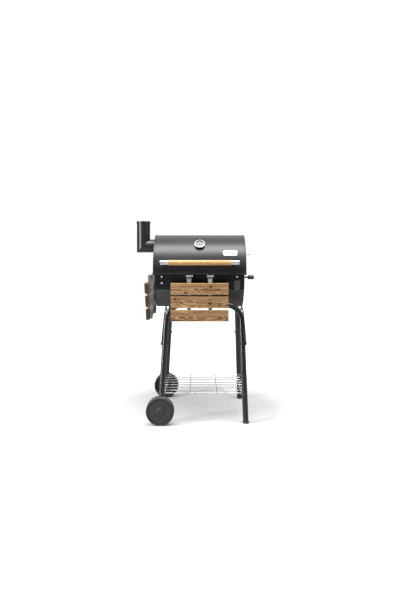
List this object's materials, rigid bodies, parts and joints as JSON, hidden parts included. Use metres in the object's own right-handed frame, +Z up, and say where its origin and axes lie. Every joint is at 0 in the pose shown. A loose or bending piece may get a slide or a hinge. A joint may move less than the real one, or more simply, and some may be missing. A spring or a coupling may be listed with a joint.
{
  "type": "barrel charcoal smoker",
  "caption": "Wheeled charcoal barrel smoker with a hinged lid, side chimney, lid thermometer, folding slatted shelves, lifting charcoal grate and wire bottom rack.",
  "frame": {"origin": "on the floor, under the middle of the bounding box at rest", "axes": "+Z up, +X along the barrel from the chimney to the charcoal lift knob, -Y towards the cook"},
  "size_m": [0.681, 0.5788, 1.0986],
  "materials": {
    "black_tube": "satin black powder coat on tube",
    "black_sheet": "satin charcoal-black heat-proof paint",
    "black_body": "satin charcoal-black heat-proof paint",
    "zinc_hardware": "zinc-plated",
    "hinge_steel": "black painted steel",
    "grey_arm": "satin dark grey paint",
    "moulded_plastic": "moulded, lightly grained",
    "dark_steel": "dark steel",
    "wire_chrome": "plated wire",
    "stained_board": "brown stained, strong grain",
    "light_grip": "honey-coloured varnish",
    "chrome_trim": "polished",
    "dial_face": "pale dial with plain division marks",
    "needle_paint": "red paint",
    "clear_lens": "clear"
  },
  "bodies": {
    "frame": {"front_leg_frame": "black_tube", "rear_leg_frame": "black_tube", "left_side_brace": "black_tube", "right_side_brace": "black_tube", "frame_bolts": "zinc_hardware", "foot_caps": "moulded_plastic", "frame_saddles": "black_tube", "bottom_rack": "wire_chrome", "wheel_bolts": "dark_steel", "wheel_nuts": "zinc_hardware", "body_shell": "black_body", "belly_shell": "black_body", "body_end_left": "black_body", "body_end_right": "black_body", "lift_guides": "zinc_hardware", "grate_rests": "hinge_steel", "body_bolts": "zinc_hardware", "cooking_grate_left": "wire_chrome", "cooking_grate_right": "wire_chrome", "front_shelf_clevises": "zinc_hardware", "left_shelf_clevises": "zinc_hardware", "shelf_hinge_bolts": "zinc_hardware", "body_hinge_leaves": "hinge_steel", "lid_hinge_pins": "zinc_hardware"},
    "lid": {"lid_shell": "black_sheet", "lid_end_left": "black_sheet", "lid_end_right": "black_sheet", "chimney_flange": "black_sheet", "chimney_pipe": "black_sheet", "chimney_band": "black_sheet", "chimney_cap_screw": "zinc_hardware", "thermometer_case": "chrome_trim", "thermometer_dial": "dial_face", "thermometer_lens": "clear_lens", "badge_plate": "chrome_trim", "handle_grip": "light_grip", "handle_ferrules": "chrome_trim", "handle_standoffs": "hinge_steel", "lid_hinge_leaves": "hinge_steel"},
    "needle": {"thermometer_needle": "needle_paint"},
    "chimney_cap": {"chimney_cap": "black_sheet"},
    "warming_rack": {"warming_rack": "wire_chrome"},
    "front_shelf": {"front_board_upper": "stained_board", "front_board_middle": "stained_board", "front_board_lower": "stained_board", "front_shelf_arms": "grey_arm", "front_shelf_screws": "zinc_hardware"},
    "left_shelf": {"left_board_upper": "stained_board", "left_board_middle": "stained_board", "left_board_lower": "stained_board", "left_shelf_arms": "grey_arm", "left_shelf_screws": "zinc_hardware"},
    "front_wheel": {"front_wheel": "moulded_plastic"},
    "rear_wheel": {"rear_wheel": "moulded_plastic"},
    "charcoal_lift": {"charcoal_grate": "dark_steel", "lift_rods": "dark_steel", "lift_knobs": "moulded_plastic"},
    "air_damper": {"air_damper": "black_body"}
  },
  "joints": [
    {"name": "lid_hinge", "type": "hinge", "parent": "frame", "child": "lid", "pos_m": [0.0264, 0.222, 0.79499], "axis": [-1, 0, 0], "range_deg": [0, 90]},
    {"name": "chimney_cap_swing", "type": "hinge", "parent": "lid", "child": "chimney_cap", "pos_m": [-0.301, 0.046, 1.095], "axis": [0, 0, 1], "range_deg": [-120, 0]},
    {"name": "thermometer_reading", "type": "hinge", "parent": "lid", "child": "needle", "pos_m": [0.0264, -0.14457, 0.95614], "axis": [0, -0.6984, 0.7157], "range_deg": [-270, 0]},
    {"name": "warming_rack_level", "type": "hinge", "parent": "lid", "child": "warming_rack", "pos_m": [0.0264, 0, 0.90399], "axis": [-1, 0, 0], "range_deg": [-90, 0]},
    {"name": "front_shelf_fold", "type": "hinge", "parent": "frame", "child": "front_shelf", "pos_m": [0.0264, -0.229, 0.78799], "axis": [-1, 0, 0], "range_deg": [0, 90]},
    {"name": "left_shelf_fold", "type": "hinge", "parent": "frame", "child": "left_shelf", "pos_m": [-0.2495, 0, 0.78299], "axis": [0, 1, 0], "range_deg": [0, 93]},
    {"name": "front_wheel_spin", "type": "hinge", "parent": "frame", "child": "front_wheel", "pos_m": [-0.184, -0.2689, 0.075], "axis": [0, 1, 0], "continuous": true},
    {"name": "rear_wheel_spin", "type": "hinge", "parent": "frame", "child": "rear_wheel", "pos_m": [-0.184, 0.2689, 0.075], "axis": [0, 1, 0], "continuous": true},
    {"name": "charcoal_lift_slide", "type": "slide", "parent": "frame", "child": "charcoal_lift", "axis": [0, 0, 1], "range_m": [-0.06, 0]},
    {"name": "air_damper_swing", "type": "hinge", "parent": "frame", "child": "air_damper", "pos_m": [0.2314, -0.19528, 0.74899], "axis": [0, -0.9573, -0.2892], "range_deg": [-100, 0]}
  ],
  "couplings": [
    {"joint": "warming_rack_level", "follows": "lid_hinge", "ratio": -1}
  ]
}
